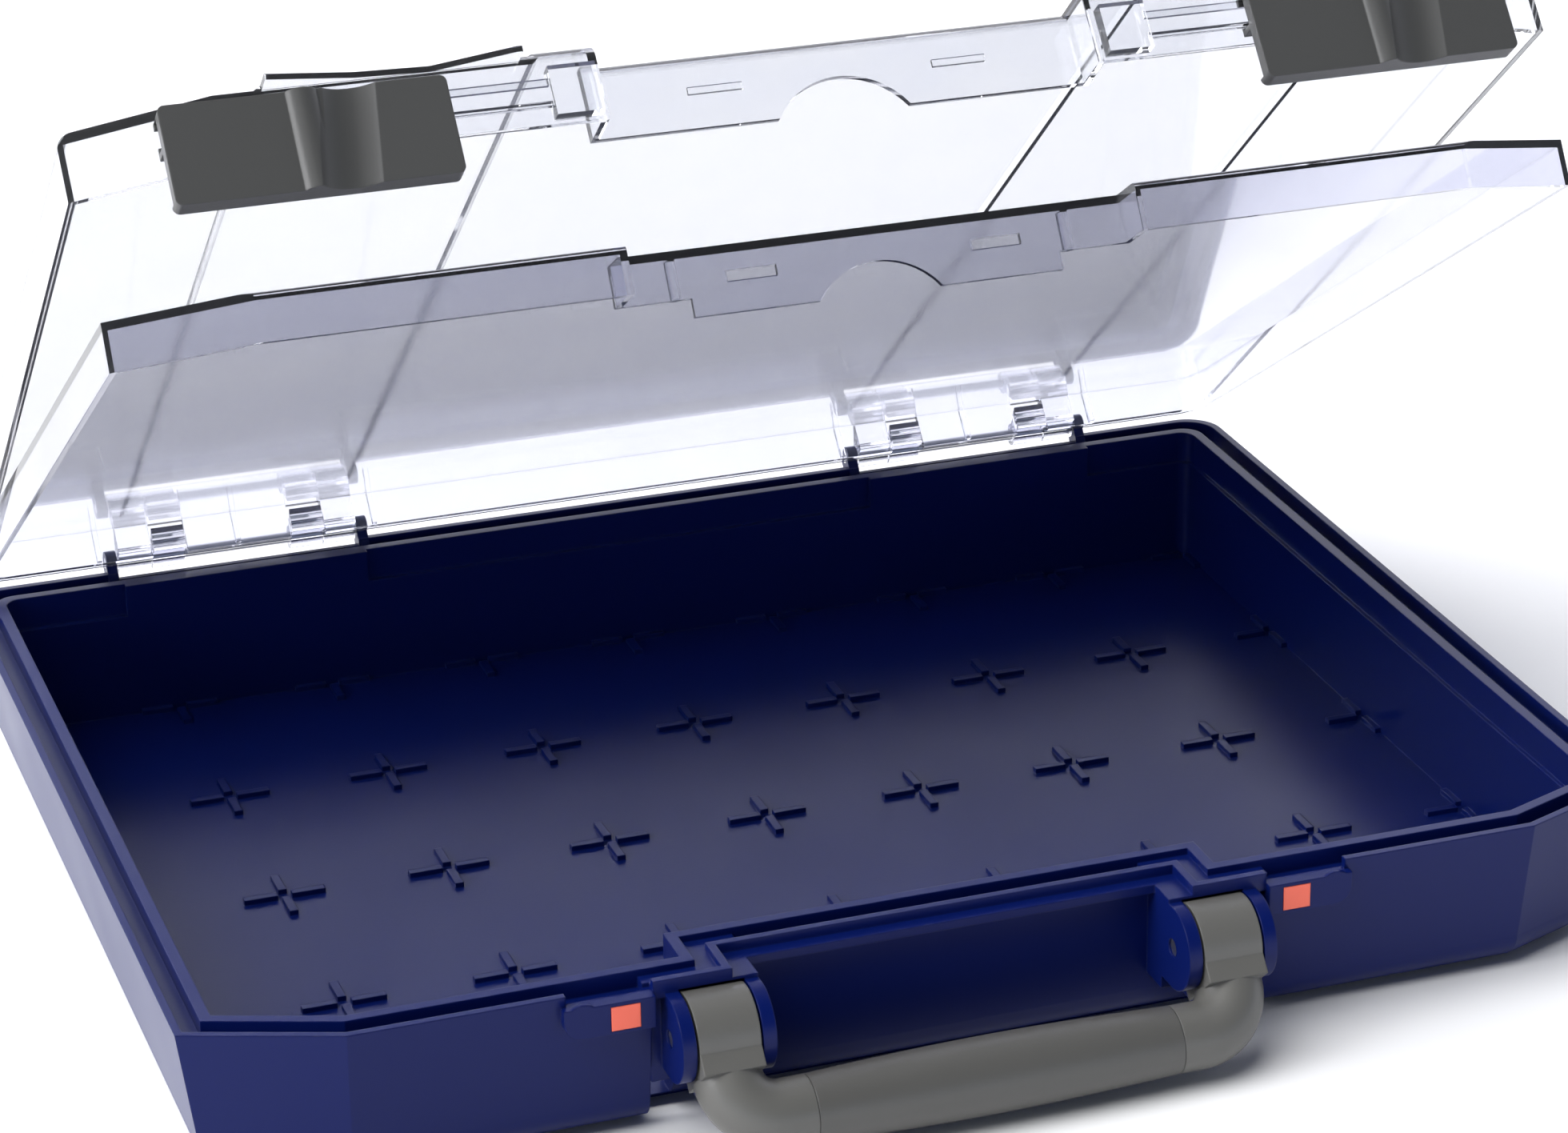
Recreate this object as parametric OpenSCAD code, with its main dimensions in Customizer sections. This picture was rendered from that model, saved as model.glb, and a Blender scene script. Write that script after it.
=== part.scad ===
// Flat carrying case with a deep tray, two clear lids on one hinge line,
// two sliding latches and a folding handle. Front is -Y, the tray stands on Z = 0.

/* [Tray] */
// Width of one floor module
module_w = 39; // [36:1:42]
// Depth of one floor module
module_d = 55; // [50:1:60]
// Number of floor modules across
columns = 8; // [7:1:9]
// Number of floor modules from front to back
rows = 4; // [3:1:5]
// Height of the rim above the table
rim_z = 37.6; // [34:0.2:60]
// Thickness of the tray floor
floor_t = 3; // [2.4:0.1:4]
// Thickness of the outer lip of the rim
lip_t = 1.8; // [1.4:0.1:2.2]
// Width of the groove in the rim
groove_w = 4.4; // [4.2:0.1:5]
// Thickness of the inner lip of the rim
inner_lip_t = 2.6; // [2:0.1:3]
// How far the lower wall stands in from the inner lip
ledge_w = 1.1; // [0.6:0.1:1.5]
// Depth of the ledge below the rim
ledge_drop = 8; // [5:0.5:10]
// Draft of the outer wall, from rim to foot
draft = 4; // [2:0.5:4.5]
// Radius of the outer bottom edge
base_r = 7; // [5:0.5:8]
// Length of a corner chamfer across the case
chamfer_x = 32.5; // [26:0.5:38]
// Length of a corner chamfer from front to back
chamfer_y = 12.5; // [10:0.5:16]
// Radius of the rear corners
rear_r = 9; // [8:0.5:12]
// How far the middle of the front is set back
setback = 11; // [11:0.5:14]
// Height of the ribs that locate the boxes on the floor
rib_h = 1.2; // [0.8:0.1:2]

/* [Lids] */
// Height of the outer lid, skirt included
outer_h = 17; // [16:0.1:20]
// Height of the inner lid, skirt included
inner_h = 10.4; // [9.4:0.2:11]
// Thickness of the outer lid's plate
outer_plate_t = 1.8; // [1.4:0.1:2.2]
// Thickness of the outer lid's skirt
outer_skirt_t = 1.6; // [1.4:0.1:1.7]
// Thickness of the inner lid's plate
inner_plate_t = 1.6; // [1.4:0.1:2]
// Thickness of the inner lid's skirt
inner_skirt_t = 1.4; // [1.2:0.1:1.5]
// How deep the skirts sit in the rim groove
seat_depth = 0.4; // [0.3:0.1:0.8]
// How much higher the middle of the outer lid is than its sides
crown = 2.4; // [1.6:0.1:2.8]
// Angle at which the outer lid stands open
outer_open = 41; // [40:1:60]
// Angle at which the inner lid stands open
inner_open = 32.5; // [25:0.5:36]

/* [Hinge] */
// Distance from the middle to the start of a hinge
gap_start = 67; // [64:0.5:70]
// Width of a hinge between its end lugs
gap_w = 61; // [58:0.5:64]
// Radius of a hinge knuckle
knuckle_r = 2.7; // [2.6:0.1:3.2]
// Radius of the hinge wire
wire_r = 1.2; // [1:0.1:1.4]
// Width of one knuckle
knuckle_w = 8; // [6:0.5:9]

/* [Latches] */
// Length of a latch
latch_w = 59; // [56:1:62]
// Travel of a latch
latch_travel = 20; // [18:0.5:21]
// Thickness of the latch's front plate
latch_t = 3; // [2.6:0.1:3.4]
// Width of a lock mark
mark_w = 6.4; // [5:0.2:7.4]
// Height of a lock mark
mark_h = 5.6; // [5:0.2:6.2]

/* [Handle] */
// Distance from the middle of the case to the middle of an arm
arm_x = 56.6; // [55:0.2:58]
// Thickness of the handle's arms and elbows
arm_w = 14.8; // [14:0.2:15.4]
// Width of an arm's eye
eye_w = 13.4; // [12.6:0.2:13.8]
// Distance from the pivot to the axis of the grip
arm_reach = 19.6; // [19:0.2:24]
// Radius of the arm's eye
eye_r = 9.5; // [9:0.1:9.8]
// Radius of the middle of the grip
grip_r = 8.4; // [8:0.1:9]
// Half the length of the soft grip
grip_half = 41; // [38:0.5:43]
// Angle at which the handle hangs below level
handle_drop = 48.5; // [45:0.5:50]
// Radius of a pivot pin
pin_r = 2; // [1.6:0.1:2.4]

/* [Hidden] */
$fn = 64;

navy = [0.10, 0.11, 0.36];
clear = [0.85, 0.88, 0.95, 0.35];
tinted = [0.70, 0.72, 0.85, 0.4];
dark_grey = [0.22, 0.22, 0.22];
mid_grey = [0.36, 0.36, 0.35];
coral = [0.93, 0.35, 0.27];
steel = [0.75, 0.76, 0.78];

// Gaps between pieces, round a pin that turns and round what is fixed
gap = 0.3;
run_gap = 0.08;
fit_gap = 0.05;

// How far a cut runs past a face, and joined solids run into each other
over = 1;
sink = 0.5;

// Plan sizes, worked out from the floor modules
seat_gap = 0.6;
rear_extra = 0.5;
wall_w = lip_t + groove_w + inner_lip_t + ledge_w;
rear_wall_w = wall_w + rear_extra;
half_w = columns * module_w / 2 + seat_gap + wall_w;
half_d = (rows * module_d + seat_gap + rear_wall_w + wall_w + setback) / 2;
grid_y = half_d - rear_wall_w - seat_gap - rows * module_d / 2;
groove_in = lip_t + groove_w;
lip_in = groove_in + inner_lip_t;
bay_x = 52;
chamfer_a = atan2(chamfer_y, chamfer_x);
corner_x = half_w - chamfer_x;
corner_shrink = 0.6;

// Handle bosses
cheek_t = 3;
eye_gap = 0.5;
pocket_gap = 0.6;
pocket_roof = 1;
pocket_w = eye_w + 2 * eye_gap;
boss_in = arm_x - pocket_w / 2 - cheek_t;
boss_out = arm_x + pocket_w / 2 + cheek_t;
boss_gap = 2.5;
bay_out = boss_out + boss_gap;
boss_back = 3;
pivot_out = 2.5;
pivot_y = -half_d - pivot_out;
pivot_z = 25;
cheek_r = eye_r;
pin_inset = 0.5;
boss_bottom = 13;
stop_half = 5;
stop_t = 2.5;
shelf_drop = 2.2;
shelf_z = rim_z - shelf_drop;
bay_y = -half_d + setback;
bay_shelf = 3.5;
bay_shelf_t = 2;

// Rim groove
groove_depth = 4;
bay_groove_depth = 6.2;
boss_groove_w = 1.5;
groove_z = rim_z - groove_depth;
bay_groove_z = rim_z - bay_groove_depth;
boss_groove_z = pivot_z + eye_r + pocket_gap + pocket_roof;

// Ribs of a locating cross
cross_open = 1.7;
cross_rib_l = 7.8;
cross_rib_t = 2;

// Feet and bottom edge
margin_z = 1.6;
foot_in = 18;

// Lid sizes
skirt_z = rim_z - seat_depth;
outer_top = skirt_z + outer_h;
inner_top = skirt_z + inner_h;
lid_gap = 0.4;
outer_in = lip_t + gap;
inner_in = outer_in + outer_skirt_t + lid_gap;
crown_x = 124;
panel_x = 66.5;
crown_step = 1.5;
crown_shift = 0.4;
side_r = 3;
edge_r = 3.4;
inner_edge_r = 1.2;

// Hinge axis, lugs and knuckles
hinge_up = 1.4;
hinge_out = 2.25;
hinge_z = rim_z + hinge_up;
hinge_y = half_d + hinge_out;
gap_end = gap_start + gap_w;
lug_w = 2.6;
lug_root = 3;
lug_low = 12;
lug_high = 2;
knuckle_gap = 0.4;
knuckle_side = 0.5;
outer_knuckle_x = knuckle_side;
inner_knuckle_x = outer_knuckle_x + knuckle_w + knuckle_side;
arm_low = 0.2;
outer_arm_up = 9;
inner_arm_up = 6;
arm_slot_gap = 0.6;

// Ribs on the outer lid's rear wall
rib_from_gap = 4.4;
rear_rib_t = 1.2;
rear_rib_out = 1.6;
rear_rib_up = 0.6;

// Latch rail and its stop
rail_up = 6;
rail_mid = skirt_z + rail_up;
rail_head_h = 6;
rail_web_h = 3.4;
rail_y = -half_d + outer_in;
rail_start = 63;
rail_from_corner = 2;
rail_end = corner_x - rail_from_corner;
head_t = 1.2;
web_t = 1.5;
stop_out = 3.6;
stop_half_h = 5.4;

// Flange above a latch
flange_t = 1.3;
flange_in = 70.5;
flange_out = 5.5;
flange_drop = 0.2;
flange_waist_x = 17;
flange_waist_out = 1.5;

// Pad under a latch, with its lock mark
pad_t = 1.8;
pad_w = 19.7;
pad_end = bay_out + pad_w;
pad_r = 4;
pad_root = 2;
pad_drop = 9.6;
pad_z = rim_z - pad_drop;
pad_top_drop = 2.4;
pad_top = rim_z - pad_top_drop;
mark_t = 0.8;
mark_from_bay = 3.3;
mark_from_edge = 0.8;
mark_proud = 0.1;
mark_x = bay_out + mark_from_bay;
mark_z = pad_z + mark_from_edge;

// Latch
channel_t = 1.2;
latch_hook_t = 1.5;
latch_from_boss = 1.2;
latch_corner_r = 1.5;
latch_face_y = -half_d - pad_t - gap - latch_t;
latch_bottom = pad_z - gap - latch_hook_t;
latch_top = rail_mid + rail_head_h / 2 + gap + channel_t;
latch_in_x = boss_out + latch_from_boss + latch_travel;
grip_rib_r = 4;
grip_rib_out = 1.7;
grip_rib_shift = 0.3;
scoop_r = 9;
scoop_depth = 1.8;
scoop_tilt = 7;
scoop_lap = 0.8;

// Finger arches, beads and slots in the middle of the lids
arch_reach = 6;
flap_arch_w = 14.6;
flap_arch_h = 8;
tab_arch_w = 13.6;
tab_arch_h = 7;
tab_half = 41;
tab_drop = 4;
finger_x = 27.2;
bead_half = 6;
bead_out = 0.8;
bead_up = 7.4;
bead_h = 1.6;
slot_half = 5.5;
slot_up = 2.6;
slot_h = 2.4;

// Ribs inside the inner lid, beside its tab
tab_rib_x = 2;
tab_rib_t = 1.6;
tab_rib_out = 3;
tab_rib_up = 0.5;
tab_rib_sink = 0.3;

// Handle
bend_r = 9.6;
core_r = 4;
limb_r = arm_w / 2;
grip_end_gap = 0.1;
grip_steps = 12;

// A profile drawn in Y and Z, run along X
module along_x(x0, x1) {
    translate([x0, 0, 0])
        rotate([90, 0, 90])
            linear_extrude(x1 - x0)
                children();
}

// A profile drawn in X and Z, run along Y
module along_y(y0, y1) {
    translate([0, y1, 0])
        rotate([90, 0, 0])
            linear_extrude(y1 - y0)
                children();
}

// Both sides of the case
module both_sides() {
    children();
    mirror([1, 0, 0])
        children();
}

// A box between two corners
module block(low, high) {
    translate(low)
        cube(high - low);
}

// Plan of the case, moved in by a distance, with a bay of half width bay in its front
module case_plan(in, bay, rear_in) {
    w = half_w - in;
    rear = half_d - rear_in;
    front = -half_d + in;
    r = rear_r - in * corner_shrink;
    side_y = -half_d + chamfer_y + in * tan((90 - chamfer_a) / 2);
    front_x = corner_x - in * tan(chamfer_a / 2);
    bay_w = bay + in;
    polygon([
        [-w + r, rear], [w - r, rear], [w, rear - r], [w, side_y], [front_x, front],
        [bay_w, front], [bay_w, front + setback], [-bay_w, front + setback], [-bay_w, front],
        [-front_x, front], [-w, side_y], [-w, rear - r]
    ]);
    for (side = [-1, 1])
        translate([side * (w - r), rear - r])
            circle(r);
}

module case_block(in, bay, low, high) {
    translate([0, 0, low])
        linear_extrude(high - low)
            case_plan(in, bay, in);
}

// Upright section of the tray's outside, with draft and rounded bottom edges
module tray_section(left, right) {
    foot_z = margin_z + base_r;
    polygon([
        [left, rim_z], [right, rim_z], [right - draft, foot_z], [right - draft - base_r, margin_z],
        [left + draft + base_r, margin_z], [left + draft, foot_z]
    ]);
    for (x = [left + draft + base_r, right - draft - base_r])
        translate([x, foot_z])
            circle(base_r);
}

// Outside of the tray, with the bay for the handle open from top to bottom
module tray_outside() {
    reach = 2 * (half_w + half_d);
    chamfer_dist = corner_x * sin(chamfer_a) + half_d * cos(chamfer_a);
    intersection() {
        case_block(0, bay_out, 0, rim_z);
        along_x(-half_w, half_w)
            tray_section(-half_d, half_d);
        along_y(-half_d, half_d)
            tray_section(-half_w, half_w);
        chamfer_sides(reach, chamfer_dist);
    }
    block([-half_w + foot_in, -half_d + foot_in, 0], [half_w - foot_in, half_d - foot_in, floor_t]);
}

// Outside of the tray at its two chamfered corners, a distance from the middle
module chamfer_sides(reach, dist) {
    intersection() {
        rotate([0, 0, chamfer_a])
            along_x(-reach, reach)
                tray_section(-dist, reach);
        rotate([0, 0, -chamfer_a])
            along_x(-reach, reach)
                tray_section(-dist, reach);
    }
}

// Rounded bottom edge along the bay's back wall
module bay_edge_cut() {
    along_x(-bay_out, bay_out)
        difference() {
            translate([bay_y - over, -over])
                square([base_r + over, base_r + margin_z + over]);
            translate([bay_y + base_r, base_r + margin_z])
                circle(base_r);
        }
}

// One handle boss: block, two round cheeks and the rim that crosses it
module handle_boss() {
    block([boss_in, -half_d + boss_back, boss_bottom - sink], [bay_out, bay_y + over, shelf_z]);
    block([boss_in, -half_d, pivot_z + cheek_r - over], [bay_out, bay_y + over, shelf_z]);
    block([bay_x, -half_d, shelf_z - over], [bay_out, bay_y + over, rim_z]);
    block([arm_x - stop_half, -half_d - boss_back, boss_bottom - stop_t],
          [arm_x + stop_half, bay_y + over, boss_bottom]);
    for (x = [boss_in, boss_out - cheek_t])
        along_x(x, x + cheek_t) {
            translate([pivot_y, pivot_z])
                circle(cheek_r);
            translate([pivot_y, pivot_z - cheek_r])
                square([over - 2 * (pivot_y + half_d), 2 * cheek_r]);
        }
}

// Pocket for an arm's eye, and the bore for its pin
module boss_cut() {
    along_x(arm_x - pocket_w / 2, arm_x + pocket_w / 2)
        translate([pivot_y, pivot_z])
            circle(eye_r + pocket_gap);
    pin_bore(boss_in - over, boss_out + over, pin_r + fit_gap);
}

module pin_bore(x0, x1, r) {
    translate([x0, pivot_y, pivot_z])
        rotate([0, 90, 0])
            cylinder(r = r, h = x1 - x0);
}

// Raised pad that a latch hooks under, with its pocket for the lock mark
module latch_pad() {
    along_y(-half_d - pad_t, -half_d + pad_root)
        polygon([
            [bay_out, pad_z], [pad_end - pad_r, pad_z], [pad_end, pad_z + pad_r],
            [pad_end, pad_top], [bay_out, pad_top]
        ]);
    translate([pad_end - pad_r, -half_d + pad_root, pad_z + pad_r])
        rotate([90, 0, 0])
            cylinder(r = pad_r, h = pad_t + pad_root);
}

module mark_pocket() {
    block([mark_x, -half_d - pad_t - over, mark_z],
          [mark_x + mark_w, -half_d - pad_t + mark_t, mark_z + mark_h]);
}

// Step down in the rim above a pad
module pad_notch() {
    block([bay_out, -half_d - over, pad_top], [pad_end - over, -half_d + lip_t + over, rim_z + over]);
}

// Gap in the rear lip that the knuckles of one hinge turn in
module hinge_notch() {
    block([gap_start, half_d - lip_t - over, hinge_z - knuckle_r - knuckle_gap],
          [gap_end, half_d + over, rim_z + over]);
}

// Groove round the rim that both skirts sit in
module rim_groove() {
    difference() {
        union() {
            case_ring(groove_z);
            intersection() {
                case_ring(bay_groove_z);
                block([-boss_in, -half_d, 0], [boss_in, 0, rim_z]);
            }
        }
        both_sides()
            block([boss_in, -half_d - over, 0],
                  [bay_out + boss_groove_w, bay_y + groove_in + over, boss_groove_z]);
    }
}

// Ring of the rim groove, from its bottom up
module case_ring(low) {
    translate([0, 0, low])
        linear_extrude(rim_z + over - low)
            difference() {
                case_plan(lip_t, bay_x, lip_t);
                case_plan(groove_in, bay_x, groove_in);
            }
}

// Inside of the tray: lower walls, and wider above the ledge except at the hinge gaps
module tray_inside() {
    translate([0, 0, floor_t])
        linear_extrude(rim_z)
            case_plan(wall_w, bay_x, rear_wall_w);
    difference() {
        translate([0, 0, rim_z - ledge_drop])
            linear_extrude(rim_z)
                case_plan(lip_in, bay_x, lip_in);
        both_sides()
            block([gap_start, half_d - rear_wall_w, 0], [gap_end, half_d, rim_z + 2 * over]);
    }
}

// One locating cross: four short ribs round an open middle
module floor_cross() {
    for (turn = [0 : 90 : 270])
        rotate([0, 0, turn])
            translate([cross_open, -cross_rib_t / 2, 0])
                cube([cross_rib_l, cross_rib_t, floor_t + rib_h]);
}

// A cross at every corner of the floor modules, cut off at the walls
module floor_crosses() {
    intersection() {
        for (column = [0 : columns], row = [0 : rows])
            translate([(column - columns / 2) * module_w, grid_y + (row - rows / 2) * module_d, 0])
                floor_cross();
        translate([0, 0, floor_t - sink])
            linear_extrude(rib_h + sink)
                case_plan(wall_w - sink, bay_x, rear_wall_w - sink);
    }
}

// Lugs on the rear wall that carry the ends of a hinge wire
module wire_lugs() {
    for (x = [gap_start - lug_w, gap_end])
        along_x(x, x + lug_w) {
            translate([hinge_y, hinge_z])
                circle(knuckle_r);
            polygon([
                [half_d - lug_root, rim_z - lug_low], [hinge_y + knuckle_r, hinge_z],
                [hinge_y - knuckle_r, hinge_z], [half_d - lug_root, rim_z - lug_high]
            ]);
        }
}

module wire_bore(x0, x1, r) {
    translate([x0, hinge_y, hinge_z])
        rotate([0, 90, 0])
            cylinder(r = r, h = x1 - x0);
}

module base_tray() {
    color(navy)
        difference() {
            union() {
                difference() {
                    union() {
                        tray_outside();
                        block([-boss_in, bay_y - bay_shelf, shelf_z - bay_shelf_t],
                              [boss_in, bay_y + over, shelf_z]);
                        both_sides() {
                            handle_boss();
                            latch_pad();
                        }
                    }
                    tray_inside();
                    rim_groove();
                    bay_edge_cut();
                    both_sides() {
                        boss_cut();
                        mark_pocket();
                        pad_notch();
                        hinge_notch();
                    }
                }
                floor_crosses();
                both_sides()
                    wire_lugs();
            }
            both_sides()
                wire_bore(gap_start - lug_w - over, gap_end + lug_w + over, wire_r + fit_gap);
        }
}

module lock_mark() {
    block([mark_x + fit_gap, -half_d - pad_t - mark_proud, mark_z + fit_gap],
          [mark_x + mark_w - fit_gap, -half_d - pad_t + mark_t, mark_z + mark_h - fit_gap]);
}

module lock_mark_left() {
    color(coral)
        mirror([1, 0, 0])
            lock_mark();
}

module lock_mark_right() {
    color(coral)
        lock_mark();
}

module hinge_wire_right() {
    color(steel)
        wire_bore(gap_start - lug_w, gap_end + lug_w, wire_r);
}

module hinge_wire_left() {
    mirror([1, 0, 0])
        hinge_wire_right();
}

module handle_pin_right() {
    color(steel)
        pin_bore(boss_in + pin_inset, boss_out - pin_inset, pin_r);
}

module handle_pin_left() {
    mirror([1, 0, 0])
        handle_pin_right();
}

// Turn about the hinge line, front edge up
module swung(angle) {
    translate([0, hinge_y, hinge_z])
        rotate([-angle, 0, 0])
            translate([0, -hinge_y, -hinge_z])
                children();
}

// Cross section of the outer lid's top, lower by drop, raised in two steps towards the middle
module crown_section(drop, half) {
    top = outer_top - drop;
    inset = drop * crown_shift;
    levels = [
        [panel_x - inset, 0], [panel_x + crown_step - inset, crown / 2],
        [crown_x - inset, crown / 2], [crown_x + crown_step - inset, crown]
    ];
    edge = [[half - side_r, top - crown], [half, top - crown - side_r], [half, 0]];
    right = concat([for (p = levels) [p[0], top - p[1]]], edge);
    left = [for (i = [len(right) - 1 : -1 : 0]) [-right[i][0], right[i][1]]];
    polygon(concat(right, left));
    for (side = [-1, 1])
        translate([side * (half - side_r), top - crown - side_r])
            circle(side_r);
}

// Cross section of a lid from front to back, with rounded top edges
module lid_section(in, top, r) {
    reach = half_d - in;
    translate([-reach, 0])
        square([2 * reach, top - r]);
    translate([-reach + r, 0])
        square([2 * (reach - r), top]);
    for (side = [-1, 1])
        translate([side * (reach - r), top - r])
            circle(r);
}

// Two knuckles of one lid on one hinge wire, with arms of a given outline
module knuckles(offset_x) {
    for (x = [gap_start + offset_x, gap_end - offset_x - knuckle_w])
        along_x(x, x + knuckle_w) {
            translate([hinge_y, hinge_z])
                circle(knuckle_r);
            children();
        }
}

// Outline of a knuckle's arm, from a lid's rear skirt back to the wire
module arm_profile(skirt_in, skirt_out, top) {
    polygon([
        [skirt_in, hinge_z + arm_low], [skirt_in, top], [skirt_out, top],
        [hinge_y + knuckle_r, hinge_z], [hinge_y - knuckle_r, hinge_z]
    ]);
}

module outer_arm_profile() {
    arm_profile(half_d - outer_in - outer_skirt_t, half_d - outer_in, hinge_z + outer_arm_up);
}

module inner_arm_profile() {
    arm_profile(half_d - inner_in - inner_skirt_t, half_d - inner_in, hinge_z + inner_arm_up);
}

// Rail that a latch slides on, with the block that stops it at its inner end
module latch_rail() {
    along_x(rail_start, rail_end) {
        translate([rail_y - web_t, rail_mid - rail_web_h / 2])
            square([web_t + sink, rail_web_h]);
        translate([rail_y - web_t - head_t, rail_mid - rail_head_h / 2])
            square([head_t, rail_head_h]);
    }
    block([bay_x + outer_in + outer_skirt_t, rail_y - stop_out, rail_mid - stop_half_h],
          [boss_out - over, rail_y + sink, rail_mid + stop_half_h]);
}

// Flange above a latch, widest at its ends
module latch_flange() {
    top = outer_top - crown / 2 - flange_drop;
    translate([0, 0, top - flange_t])
        linear_extrude(flange_t)
            polygon([
                [flange_in, rail_y + over], [flange_in, rail_y - flange_out],
                [flange_in + flange_t, rail_y - flange_out], [latch_in_x + over, rail_y - gap],
                [latch_in_x + flange_waist_x, rail_y - flange_waist_out], [crown_x, rail_y - flange_out],
                [crown_x, rail_y + over]
            ]);
}

// Upright ribs on the outer lid's rear wall, beside and between its knuckles
module rear_ribs() {
    mid = gap_start + gap_w / 2;
    for (x = [gap_start - rib_from_gap, mid, gap_end + rib_from_gap])
        block([x - rear_rib_t / 2, half_d - outer_in - sink, rim_z + rear_rib_up],
              [x + rear_rib_t / 2, half_d - outer_in + rear_rib_out, outer_top - crown - edge_r]);
}

// Rounds the top edge of the set-back front wall
module bay_edge_round(y, top) {
    half = bay_x + outer_in;
    along_x(-half, half)
        difference() {
            translate([y - over, top - edge_r])
                square(edge_r + over);
            translate([y + edge_r, top - edge_r])
                circle(edge_r);
        }
}

// Radius of an arch of a given width and height
function arch_r(w, h) = (w * w + h * h) / (2 * h);

// Round-topped cut in the bottom edge of a front wall
module arch_cut(w, h, bottom, y) {
    translate([0, y + arch_reach, bottom + h - arch_r(w, h)])
        rotate([90, 0, 0])
            cylinder(r = arch_r(w, h), h = 2 * arch_reach, $fn = 96);
}

module outer_lid_closed() {
    bay_front = bay_y + outer_in;
    difference() {
        union() {
            difference() {
                intersection() {
                    case_block(outer_in, bay_x, skirt_z, outer_top);
                    along_y(-half_d, half_d)
                        crown_section(0, half_w - outer_in);
                    along_x(-half_w, half_w)
                        lid_section(outer_in, outer_top, edge_r);
                }
                intersection() {
                    case_block(outer_in + outer_skirt_t, bay_x, 0, outer_top);
                    along_y(-half_d, half_d)
                        crown_section(outer_plate_t, half_w);
                }
                arch_cut(flap_arch_w, flap_arch_h, skirt_z, bay_front);
                bay_edge_round(bay_front, outer_top);
                both_sides()
                    for (x = [gap_start + inner_knuckle_x, gap_end - inner_knuckle_x - knuckle_w])
                        block([x - knuckle_gap, half_d - outer_in - outer_skirt_t - over, 0],
                              [x + knuckle_w + knuckle_gap, half_d, hinge_z + inner_arm_up + arm_slot_gap]);
            }
            both_sides() {
                latch_rail();
                latch_flange();
                rear_ribs();
                knuckles(outer_knuckle_x)
                    outer_arm_profile();
                block([finger_x - bead_half, bay_front - bead_out, skirt_z + bead_up],
                      [finger_x + bead_half, bay_front + sink, skirt_z + bead_up + bead_h]);
            }
        }
        both_sides()
            wire_bore(gap_start - over, gap_end + over, wire_r + run_gap);
    }
}

module outer_lid() {
    color(clear)
        swung(outer_open)
            outer_lid_closed();
}

// Upright rib inside the inner lid, beside its tab
module tab_rib(back) {
    block([tab_half + tab_rib_x, back - tab_rib_sink, skirt_z + tab_rib_up],
          [tab_half + tab_rib_x + tab_rib_t, back + tab_rib_out, inner_top - inner_plate_t + tab_rib_sink]);
}

module inner_lid_closed() {
    bay_front = bay_y + inner_in;
    difference() {
        union() {
            difference() {
                intersection() {
                    case_block(inner_in, bay_x, skirt_z, inner_top);
                    along_x(-half_w, half_w)
                        lid_section(inner_in, inner_top, inner_edge_r);
                }
                case_block(inner_in + inner_skirt_t, bay_x, 0, inner_top - inner_plate_t);
            }
            block([-tab_half, bay_front, skirt_z - tab_drop],
                  [tab_half, bay_front + inner_skirt_t, skirt_z + over]);
            both_sides() {
                tab_rib(bay_front + inner_skirt_t);
                knuckles(inner_knuckle_x)
                    inner_arm_profile();
            }
        }
        arch_cut(tab_arch_w, tab_arch_h, skirt_z - tab_drop, bay_front);
        both_sides() {
            block([finger_x - slot_half, bay_front - over, skirt_z + slot_up],
                  [finger_x + slot_half, bay_front + 2 * over, skirt_z + slot_up + slot_h]);
            wire_bore(gap_start - over, gap_end + over, wire_r + run_gap);
        }
    }
}

module inner_lid() {
    color(tinted)
        swung(inner_open)
            inner_lid_closed();
}

// Cross section of a latch: front plate, channel round the rail and hook at the bottom
module latch_profile() {
    back = latch_face_y + latch_t;
    lip_front = rail_y - web_t + gap;
    lip_back = rail_y - gap;
    head_low = rail_mid - rail_head_h / 2 - gap;
    head_high = rail_mid + rail_head_h / 2 + gap;
    grip = (rail_head_h - rail_web_h) / 2;
    translate([latch_face_y, latch_bottom])
        square([latch_t, latch_top - latch_bottom]);
    translate([back - over, head_high])
        square([lip_back - back + over, channel_t]);
    translate([back - over, head_low - channel_t])
        square([lip_back - back + over, channel_t]);
    translate([lip_front, head_high - grip])
        square([lip_back - lip_front, grip + over]);
    translate([lip_front, head_low - over])
        square([lip_back - lip_front, grip + over]);
    translate([back - over, latch_bottom])
        square([-half_d - gap - back + over, latch_hook_t]);
}

// Rounded rectangle between two corners
module rounded(low, high, r) {
    translate([low[0] + r, low[1]])
        square([high[0] - low[0] - 2 * r, high[1] - low[1]]);
    translate([low[0], low[1] + r])
        square([high[0] - low[0], high[1] - low[1] - 2 * r]);
    for (x = [low[0] + r, high[0] - r], z = [low[1] + r, high[1] - r])
        translate([x, z])
            circle(r);
}

// A latch, with a finger rib and a scoop beside it
module latch_closed() {
    mid = latch_in_x + latch_w / 2;
    latch_h = latch_top - latch_bottom;
    latch_mid = (latch_bottom + latch_top) / 2;
    difference() {
        union() {
            intersection() {
                along_x(latch_in_x, latch_in_x + latch_w)
                    latch_profile();
                along_y(latch_face_y - over, 0)
                    rounded([latch_in_x, latch_bottom], [latch_in_x + latch_w, latch_top], latch_corner_r);
            }
            intersection() {
                translate([mid - grip_rib_shift, latch_face_y + grip_rib_r - grip_rib_out, latch_bottom])
                    cylinder(r = grip_rib_r, h = latch_h);
                block([mid - 2 * grip_rib_r, latch_face_y - grip_rib_r, latch_bottom],
                      [mid + 2 * grip_rib_r, latch_face_y + over, latch_top]);
            }
        }
        translate([mid + scoop_r - scoop_lap, latch_face_y - scoop_r + scoop_depth, latch_mid])
            rotate([0, scoop_tilt, 0])
                cylinder(r = scoop_r, h = 2 * latch_h, center = true);
    }
}

module latch_right() {
    color(dark_grey)
        swung(outer_open)
            latch_closed();
}

module latch_left() {
    translate([-2 * latch_in_x - latch_w, 0, 0])
        latch_right();
}

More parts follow.
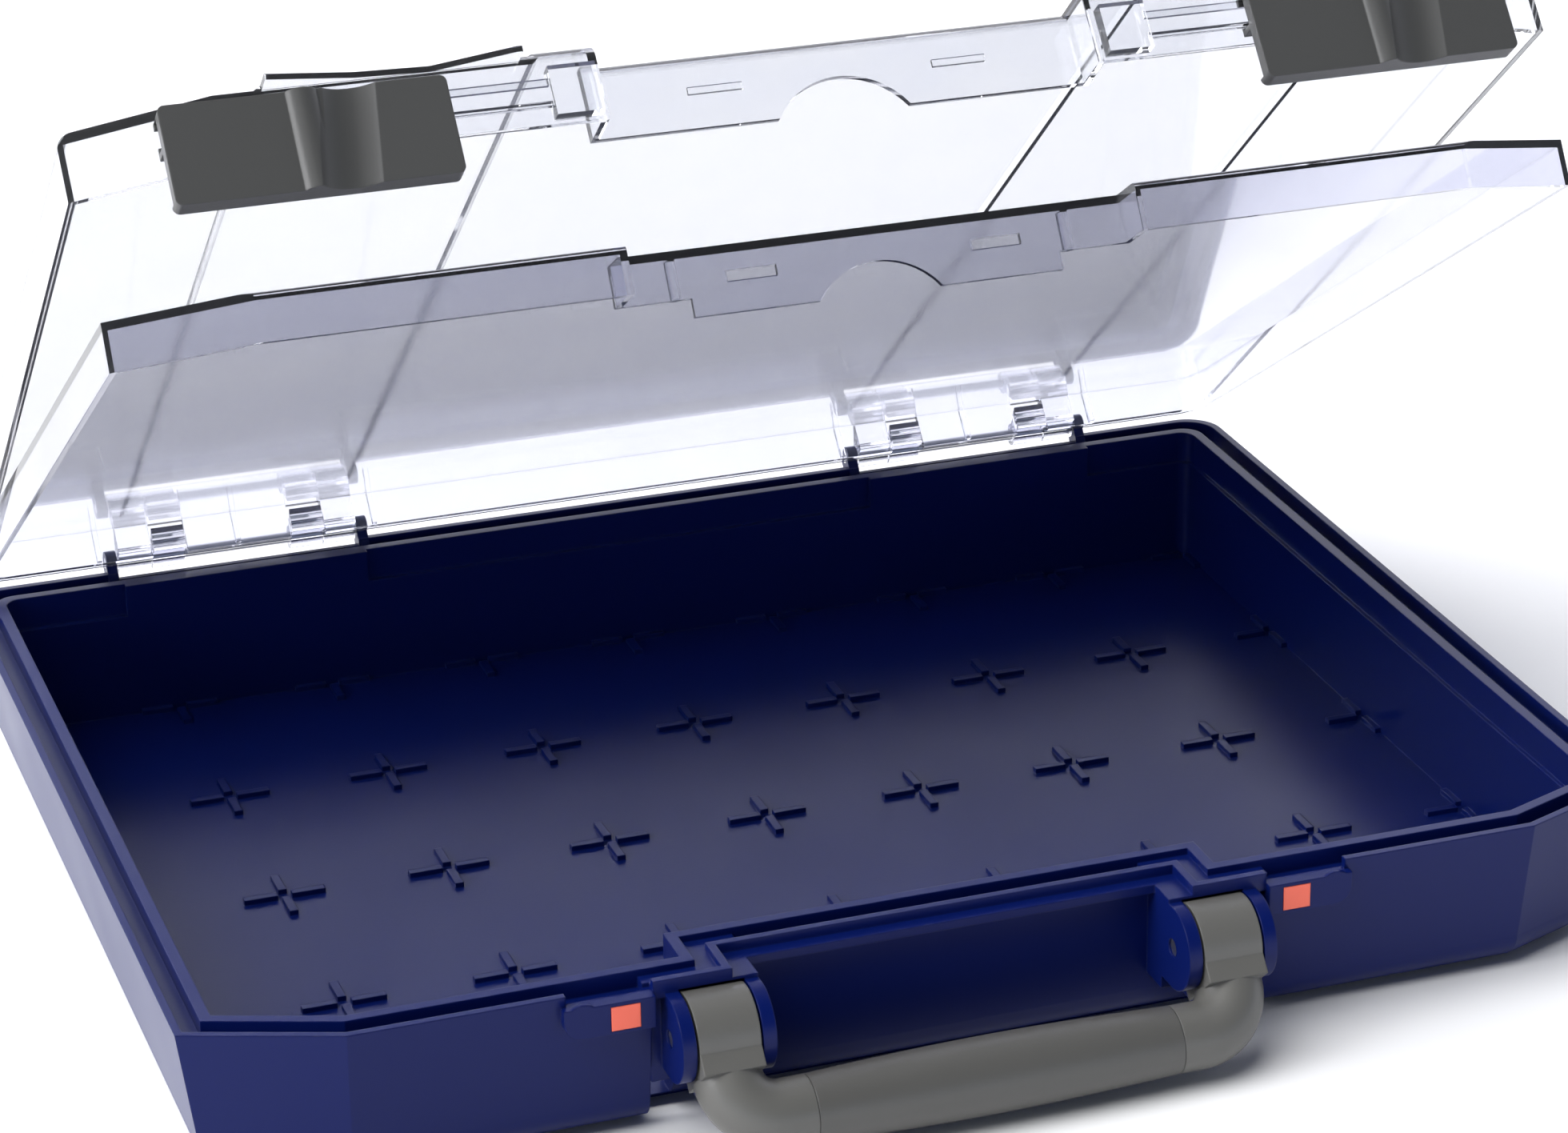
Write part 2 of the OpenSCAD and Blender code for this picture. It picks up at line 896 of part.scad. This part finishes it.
// Turn about the handle pivot, grip down
module hung(angle) {
    translate([0, pivot_y, pivot_z])
        rotate([angle, 0, 0])
            children();
}

// Handle in the pivot's frame, reaching along -Y
module handle_frame_level() {
    difference() {
        union() {
            both_sides() {
                translate([arm_x - eye_w / 2, 0, 0])
                    rotate([0, 90, 0])
                        cylinder(r = eye_r, h = eye_w);
                block([arm_x - eye_w / 2, -arm_reach + bend_r - sink, -limb_r],
                      [arm_x + eye_w / 2, 0, limb_r]);
                translate([arm_x - bend_r, -arm_reach + bend_r, 0])
                    rotate([0, 0, -90])
                        rotate_extrude(angle = 90)
                            translate([bend_r, 0])
                                circle(limb_r);
                translate([grip_half + grip_end_gap, -arm_reach, 0])
                    rotate([0, 90, 0])
                        cylinder(r = limb_r, h = arm_x - bend_r - grip_half - grip_end_gap);
            }
            translate([-grip_half - over, -arm_reach, 0])
                rotate([0, 90, 0])
                    cylinder(r = core_r, h = 2 * (grip_half + over));
        }
        both_sides()
            translate([arm_x - arm_w / 2 - over, 0, 0])
                rotate([0, 90, 0])
                    cylinder(r = pin_r + run_gap, h = arm_w + 2 * over);
    }
}

module handle_frame() {
    color(mid_grey)
        hung(handle_drop)
            handle_frame_level();
}

// Soft grip, fuller in the middle
module grip_level() {
    bulge = grip_r - limb_r;
    outline = [
        for (i = [0 : grip_steps])
            [limb_r + bulge * sin(180 * i / grip_steps), grip_half * (2 * i / grip_steps - 1)]
    ];
    translate([0, -arm_reach, 0])
        rotate([0, 90, 0])
            rotate_extrude()
                polygon(concat([[core_r + fit_gap, grip_half], [core_r + fit_gap, -grip_half]], outline));
}

module handle_grip() {
    color(mid_grey)
        hung(handle_drop)
            grip_level();
}

base_tray();
lock_mark_left();
lock_mark_right();
hinge_wire_left();
hinge_wire_right();
handle_pin_left();
handle_pin_right();
outer_lid();
inner_lid();
latch_left();
latch_right();
handle_frame();
handle_grip();
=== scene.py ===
"""Looks of a carrying case with a deep tray, two clear lids, two sliding latches and a folding handle."""

import math

import bpy
from mathutils import Euler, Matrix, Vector

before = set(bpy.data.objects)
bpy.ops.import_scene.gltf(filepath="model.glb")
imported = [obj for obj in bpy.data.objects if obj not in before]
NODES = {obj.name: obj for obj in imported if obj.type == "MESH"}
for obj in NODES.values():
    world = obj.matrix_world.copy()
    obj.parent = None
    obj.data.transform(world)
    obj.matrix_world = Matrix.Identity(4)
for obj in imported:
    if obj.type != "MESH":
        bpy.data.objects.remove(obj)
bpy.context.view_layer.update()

# Camera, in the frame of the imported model
CAMERA_AT = (-0.32036, -0.94851, 0.49881)
CAMERA_TURN = (66.2747, 0.1816, -20.5176)
CAMERA_LENS = 108.297
SENSOR_WIDTH = 36.0
CAMERA_SHIFT = (-0.07653, 0.02653)
CAMERA_CLIP = (0.01, 50.0)

# Floor
FLOOR_HALF = 6.0
FLOOR_COLOR = (0.95, 0.95, 0.95)
FLOOR_ROUGHNESS = 0.9

# World, by the direction's part along each axis of the frame, from -1 to 1
BACK_COLOR = (0.9, 0.91, 1.0, 1.0)
FRONT_COLOR = (0.7, 0.8, 1.0, 1.0)
COLOR_BAND = (-0.5, 0.3)
BACK_LIGHT = 2.5
FRONT_LIGHT = 0.1
DEPTH_BAND = (-0.5, 0.6)
RIGHT_SHARE = 0.5
SIDE_BAND = (-0.2, 0.9)
TOP_SHARE = 0.25
TOP_BAND = (0.5, 0.85)
HORIZON_LIGHT = 1.05
HORIZON_BAND = (0.14, 0.3)

# Lamps
SUN_FROM = (-0.5, -0.15, 1.0)
SUN_ANGLE = 50.0
SUN_STRENGTH = 2.7
LAMP_AT = (-1.6, -0.2, 0.7)
LAMP_AIM = (0.0, 0.0, 0.05)
LAMP_SIZE = 0.9
LAMP_POWER = 16.0

# Light paths, with enough bounces for the walls of both lids
MAX_BOUNCES = 20
CLEAR_BOUNCES = 18
GLOSSY_BOUNCES = 8
DIFFUSE_BOUNCES = 4
INDIRECT_CLAMP = 8.0

# Surface patterns: a noise is its scale, detail and roughness
NOISE_RANGE = (0.15, 0.85)
FLOW_NOISE = (9.0, 0.0, 0.5)
WEAR_NOISE = (30.0, 0.0, 0.5)
GRAIN_DETAIL = (2.0, 0.5)
GRAIN_STRENGTH = 0.2
EDGE_RADIUS = 0.0005
EDGE_SAMPLES = 4

# Clear plastic
CLEAR_IOR = 1.58
CLEAR_SHARE = 0.99
CLEAR_ROUGHNESS = 0.02
HAZE_NOISE = (40.0, 5.0, 0.6)
HAZE_RANGE = (0.3, 0.7)
WAVE_NOISE = (9.0, 1.0, 0.4)
WAVE_DEPTH = 0.0006
WAVE_STRENGTH = 0.2

# Drawn steel
STEEL_COLOR = (0.6, 0.6, 0.62)
STEEL_DARK = (0.5, 0.5, 0.52)
STEEL_LIGHT = (0.68, 0.68, 0.7)
STEEL_ROUGHNESS = 0.3
DRAWN_ROUGHNESS = (0.29, 0.42)
DRAWN_STRETCH = (1.0, 40.0, 40.0)
DRAWN_NOISE = (60.0, 4.0, 0.6)
DRAWN_RANGE = (0.2, 0.8)

# Moulded finishes: name, two colours, range of roughness, scale and depth of the grain, other sockets, pieces
MOULDED = [
    ("tray_navy", (0.0019, 0.0074, 0.08), (0.0025, 0.0084, 0.088), (0.285, 0.33), 1400.0, 0.00003,
     {"Specular IOR Level": 0.19}, ["base_tray"]),
    ("mark_coral", (0.92, 0.14, 0.08), (0.97, 0.165, 0.095), (0.4, 0.5), 1800.0, 0.00004,
     {}, ["lock_mark_left", "lock_mark_right"]),
    ("latch_grey", (0.062, 0.062, 0.06), (0.07, 0.07, 0.068), (0.34, 0.4), 1600.0, 0.0001,
     {}, ["latch_left", "latch_right"]),
    ("handle_grey", (0.108, 0.106, 0.098), (0.12, 0.118, 0.109), (0.32, 0.38), 1500.0, 0.0001,
     {}, ["handle_frame"]),
    ("grip_grey", (0.084, 0.082, 0.077), (0.095, 0.093, 0.087), (0.34, 0.42), 1300.0, 0.00012,
     {}, ["handle_grip"]),
]

# Clear finishes: name, two colours, range of roughness, pieces
CLEAR = [
    ("outer_clear", (0.97, 0.975, 0.99), (0.94, 0.95, 0.985), (0.015, 0.05), ["outer_lid"]),
    ("inner_clear", (0.93, 0.935, 1.0), (0.91, 0.915, 0.995), (0.03, 0.06), ["inner_lid"]),
]

STEEL_PIECES = ["hinge_wire_left", "hinge_wire_right", "handle_pin_left", "handle_pin_right"]


def material(name, base, metallic=0.0, roughness=0.4, sockets=None):
    """A new Principled material, with its constants set on the shader's own sockets."""
    made = bpy.data.materials.new(name)
    made.use_nodes = True
    shader = made.node_tree.nodes["Principled BSDF"]
    shader.inputs["Base Color"].default_value = (*base, 1.0)
    shader.inputs["Metallic"].default_value = metallic
    shader.inputs["Roughness"].default_value = roughness
    for socket, value in (sockets or {}).items():
        shader.inputs[socket].default_value = value
    made.diffuse_color = (*base, 1.0)
    return made


def object_point(tree, scale=(1.0, 1.0, 1.0)):
    """A point of the object, stretched along its axes."""
    place = tree.nodes.new("ShaderNodeTexCoord")
    stretch = tree.nodes.new("ShaderNodeMapping")
    stretch.inputs["Scale"].default_value = scale
    tree.links.new(place.outputs["Object"], stretch.inputs["Vector"])
    return stretch.outputs["Vector"]


def noise(tree, point, scale, detail, rough):
    made = tree.nodes.new("ShaderNodeTexNoise")
    made.inputs["Scale"].default_value = scale
    made.inputs["Detail"].default_value = detail
    made.inputs["Roughness"].default_value = rough
    tree.links.new(point, made.inputs["Vector"])
    return made.outputs["Fac"]


def ramp(tree, value, source, color_low, color_high):
    """A colour that goes from one to the other as the value crosses the source range."""
    made = tree.nodes.new("ShaderNodeValToRGB")
    for stop, position, color in zip(made.color_ramp.elements, source, (color_low, color_high)):
        stop.position = position
        stop.color = (*color, 1.0)
    tree.links.new(value, made.inputs["Fac"])
    return made.outputs["Color"]


def map_range(tree, value, source, target, interpolation="LINEAR"):
    """A number that crosses the target range as the value crosses the source range."""
    made = tree.nodes.new("ShaderNodeMapRange")
    made.interpolation_type = interpolation
    made.inputs["From Min"].default_value = source[0]
    made.inputs["From Max"].default_value = source[1]
    made.inputs["To Min"].default_value = target[0]
    made.inputs["To Max"].default_value = target[1]
    tree.links.new(value, made.inputs["Value"])
    return made.outputs["Result"]


def bump(tree, height, depth, strength, under=None):
    made = tree.nodes.new("ShaderNodeBump")
    made.inputs["Strength"].default_value = strength
    made.inputs["Distance"].default_value = depth
    tree.links.new(height, made.inputs["Height"])
    if under is not None:
        tree.links.new(under, made.inputs["Normal"])
    return made.outputs["Normal"]


def soft_edge(tree):
    """A normal that rounds sharp edges in the shading."""
    made = tree.nodes.new("ShaderNodeBevel")
    made.samples = EDGE_SAMPLES
    made.inputs["Radius"].default_value = EDGE_RADIUS
    return made.outputs["Normal"]


def moulded(name, base, tint, rough, grain, grain_depth, sockets):
    """Moulded plastic: slight flow mottling, uneven gloss and a fine surface grain."""
    made = material(name, base, sockets=sockets)
    tree = made.node_tree
    shader = tree.nodes["Principled BSDF"]
    flow = noise(tree, object_point(tree), *FLOW_NOISE)
    wear = noise(tree, object_point(tree), *WEAR_NOISE)
    fine = noise(tree, object_point(tree), grain, *GRAIN_DETAIL)
    surface = bump(tree, fine, grain_depth, GRAIN_STRENGTH, soft_edge(tree))
    tree.links.new(ramp(tree, flow, NOISE_RANGE, base, tint), shader.inputs["Base Color"])
    tree.links.new(map_range(tree, wear, NOISE_RANGE, rough), shader.inputs["Roughness"])
    tree.links.new(surface, shader.inputs["Normal"])
    return made


def clear(name, base, tint, rough):
    """Clear polycarbonate: polished, with a little flow waviness and light handling haze."""
    sockets = {"IOR": CLEAR_IOR, "Transmission Weight": CLEAR_SHARE}
    made = material(name, base, roughness=CLEAR_ROUGHNESS, sockets=sockets)
    tree = made.node_tree
    shader = tree.nodes["Principled BSDF"]
    haze = noise(tree, object_point(tree), *HAZE_NOISE)
    wave = noise(tree, object_point(tree), *WAVE_NOISE)
    tree.links.new(ramp(tree, haze, HAZE_RANGE, base, tint), shader.inputs["Base Color"])
    tree.links.new(map_range(tree, haze, NOISE_RANGE, rough), shader.inputs["Roughness"])
    tree.links.new(bump(tree, wave, WAVE_DEPTH, WAVE_STRENGTH), shader.inputs["Normal"])
    return made


def steel(name):
    """Drawn steel wire, with fine lines along its length."""
    made = material(name, STEEL_COLOR, metallic=1.0, roughness=STEEL_ROUGHNESS)
    tree = made.node_tree
    shader = tree.nodes["Principled BSDF"]
    drawn = noise(tree, object_point(tree, DRAWN_STRETCH), *DRAWN_NOISE)
    color = ramp(tree, drawn, DRAWN_RANGE, STEEL_DARK, STEEL_LIGHT)
    tree.links.new(map_range(tree, drawn, NOISE_RANGE, DRAWN_ROUGHNESS), shader.inputs["Roughness"])
    tree.links.new(color, shader.inputs["Base Color"])
    return made


def finish(names, made):
    """Give one material to every slot of the named CAD pieces."""
    for name in names:
        for slot in NODES[name].material_slots:
            slot.material = made


def finish_pieces():
    for name, base, tint, rough, grain, grain_depth, sockets, pieces in MOULDED:
        finish(pieces, moulded(name, base, tint, rough, grain, grain_depth, sockets))
    for name, base, tint, rough, pieces in CLEAR:
        finish(pieces, clear(name, base, tint, rough))
    finish(STEEL_PIECES, steel("hinge_steel"))


def stage_floor():
    half = FLOOR_HALF
    mesh = bpy.data.meshes.new("floor")
    corners = [(-half, -half, 0), (half, -half, 0), (half, half, 0), (-half, half, 0)]
    mesh.from_pydata(corners, [], [(0, 1, 2, 3)])
    floor = bpy.data.objects.new("floor", mesh)
    bpy.context.scene.collection.objects.link(floor)
    mesh.materials.append(material("floor_pale", FLOOR_COLOR, roughness=FLOOR_ROUGHNESS))


def add_light(name, data, place, toward):
    """A lamp at a place that shines along a direction."""
    lamp = bpy.data.objects.new(name, data)
    lamp.location = place
    lamp.rotation_euler = toward.to_track_quat("-Z", "Y").to_euler()
    bpy.context.scene.collection.objects.link(lamp)
    return lamp


def add_lamp():
    data = bpy.data.lights.new("left", "AREA")
    data.shape = "DISK"
    data.size = LAMP_SIZE
    data.energy = LAMP_POWER
    add_light("left", data, LAMP_AT, Vector(LAMP_AIM) - Vector(LAMP_AT))


def add_sun():
    """Wide, soft light from above, which the surfaces don't mirror."""
    data = bpy.data.lights.new("sun", "SUN")
    data.energy = SUN_STRENGTH
    data.angle = math.radians(SUN_ANGLE)
    lamp = add_light("sun", data, (0.0, 0.0, 0.0), -Vector(SUN_FROM))
    lamp.visible_glossy = False


def blend_range(tree, value, source, target):
    return map_range(tree, value, source, target, "SMOOTHSTEP")


def product(tree, one, other):
    made = tree.nodes.new("ShaderNodeMath")
    made.operation = "MULTIPLY"
    tree.links.new(one, made.inputs[0])
    tree.links.new(other, made.inputs[1])
    return made.outputs["Value"]


def set_world():
    """A studio that is bright behind, dim in front, dimmer right and above, and even at the horizon."""
    world = bpy.data.worlds.new("studio")
    world.use_nodes = True
    tree = world.node_tree
    back = tree.nodes["Background"]
    place = tree.nodes.new("ShaderNodeTexCoord")
    parts = tree.nodes.new("ShaderNodeSeparateXYZ")
    tree.links.new(place.outputs["Generated"], parts.inputs["Vector"])
    depth = blend_range(tree, parts.outputs["Y"], DEPTH_BAND, (FRONT_LIGHT, BACK_LIGHT))
    side = blend_range(tree, parts.outputs["X"], SIDE_BAND, (1.0, RIGHT_SHARE))
    top = blend_range(tree, parts.outputs["Z"], TOP_BAND, (1.0, TOP_SHARE))
    sky = product(tree, product(tree, depth, side), top)
    level = tree.nodes.new("ShaderNodeMix")
    level.inputs["A"].default_value = HORIZON_LIGHT
    tree.links.new(sky, level.inputs["B"])
    above = blend_range(tree, parts.outputs["Z"], HORIZON_BAND, (0.0, 1.0))
    tree.links.new(above, level.inputs["Factor"])
    tree.links.new(level.outputs["Result"], back.inputs["Strength"])
    hue = tree.nodes.new("ShaderNodeMix")
    hue.data_type = "RGBA"
    hue.inputs["A"].default_value = FRONT_COLOR
    hue.inputs["B"].default_value = BACK_COLOR
    behind = blend_range(tree, parts.outputs["Y"], COLOR_BAND, (0.0, 1.0))
    tree.links.new(behind, hue.inputs["Factor"])
    tree.links.new(hue.outputs["Result"], back.inputs["Color"])
    bpy.context.scene.world = world


def set_camera():
    data = bpy.data.cameras.new("camera")
    data.sensor_fit = "HORIZONTAL"
    data.sensor_width = SENSOR_WIDTH
    data.lens = CAMERA_LENS
    data.shift_x, data.shift_y = CAMERA_SHIFT
    data.clip_start, data.clip_end = CAMERA_CLIP
    camera = bpy.data.objects.new("camera", data)
    camera.location = CAMERA_AT
    camera.rotation_euler = Euler([math.radians(a) for a in CAMERA_TURN], "XYZ")
    bpy.context.scene.collection.objects.link(camera)
    bpy.context.scene.camera = camera


def set_light_paths():
    scene = bpy.context.scene
    scene.view_settings.view_transform = "Standard"
    scene.cycles.max_bounces = MAX_BOUNCES
    scene.cycles.transmission_bounces = CLEAR_BOUNCES
    scene.cycles.glossy_bounces = GLOSSY_BOUNCES
    scene.cycles.diffuse_bounces = DIFFUSE_BOUNCES
    scene.cycles.caustics_refractive = True
    scene.cycles.caustics_reflective = False
    scene.cycles.sample_clamp_indirect = INDIRECT_CLAMP


finish_pieces()
stage_floor()
set_world()
add_sun()
add_lamp()
set_camera()
set_light_paths()
